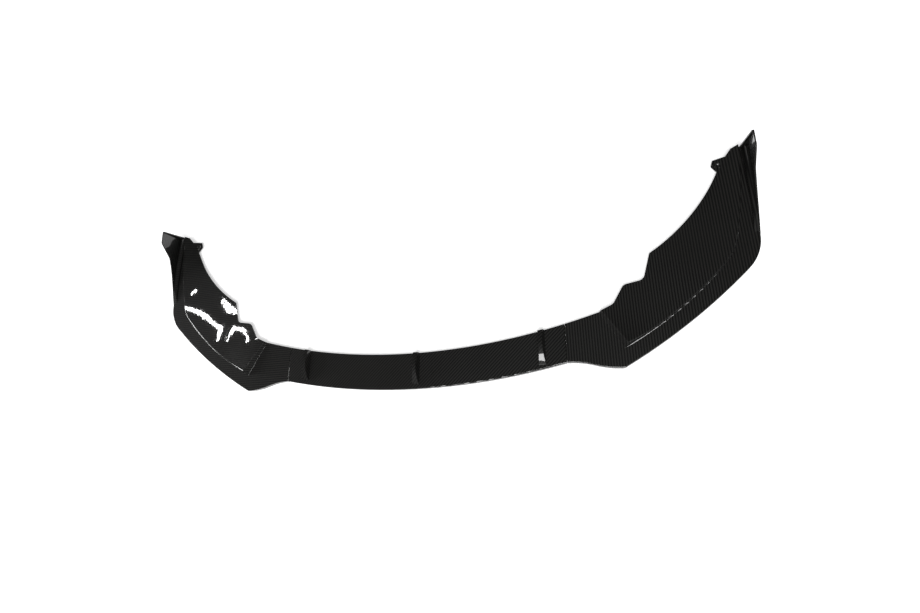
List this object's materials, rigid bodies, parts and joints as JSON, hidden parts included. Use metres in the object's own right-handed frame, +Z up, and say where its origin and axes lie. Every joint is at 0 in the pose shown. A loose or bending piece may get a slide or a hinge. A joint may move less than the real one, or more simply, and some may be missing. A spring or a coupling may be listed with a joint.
{
  "type": "front splitter lip",
  "caption": "Low front splitter lip for a car bumper: a curved centre blade with upright strakes and stepped side sections that end in winglets.",
  "frame": {"origin": "ground under the middle of the part's bounding box, on its plane of symmetry", "axes": "+X across the car to the side the camera stands on, +Y from the front edge towards the car, +Z up"},
  "size_m": [1.834, 0.592, 0.105],
  "materials": {
    "sheet": "gloss black woven carbon look under a clear coat",
    "tape": "matt black foam tape"
  },
  "bodies": {
    "root": {"centre_section": "sheet", "right_side_section": "sheet", "left_side_section": "sheet", "right_joint_tape": "tape", "left_joint_tape": "tape"}
  },
  "joints": []
}
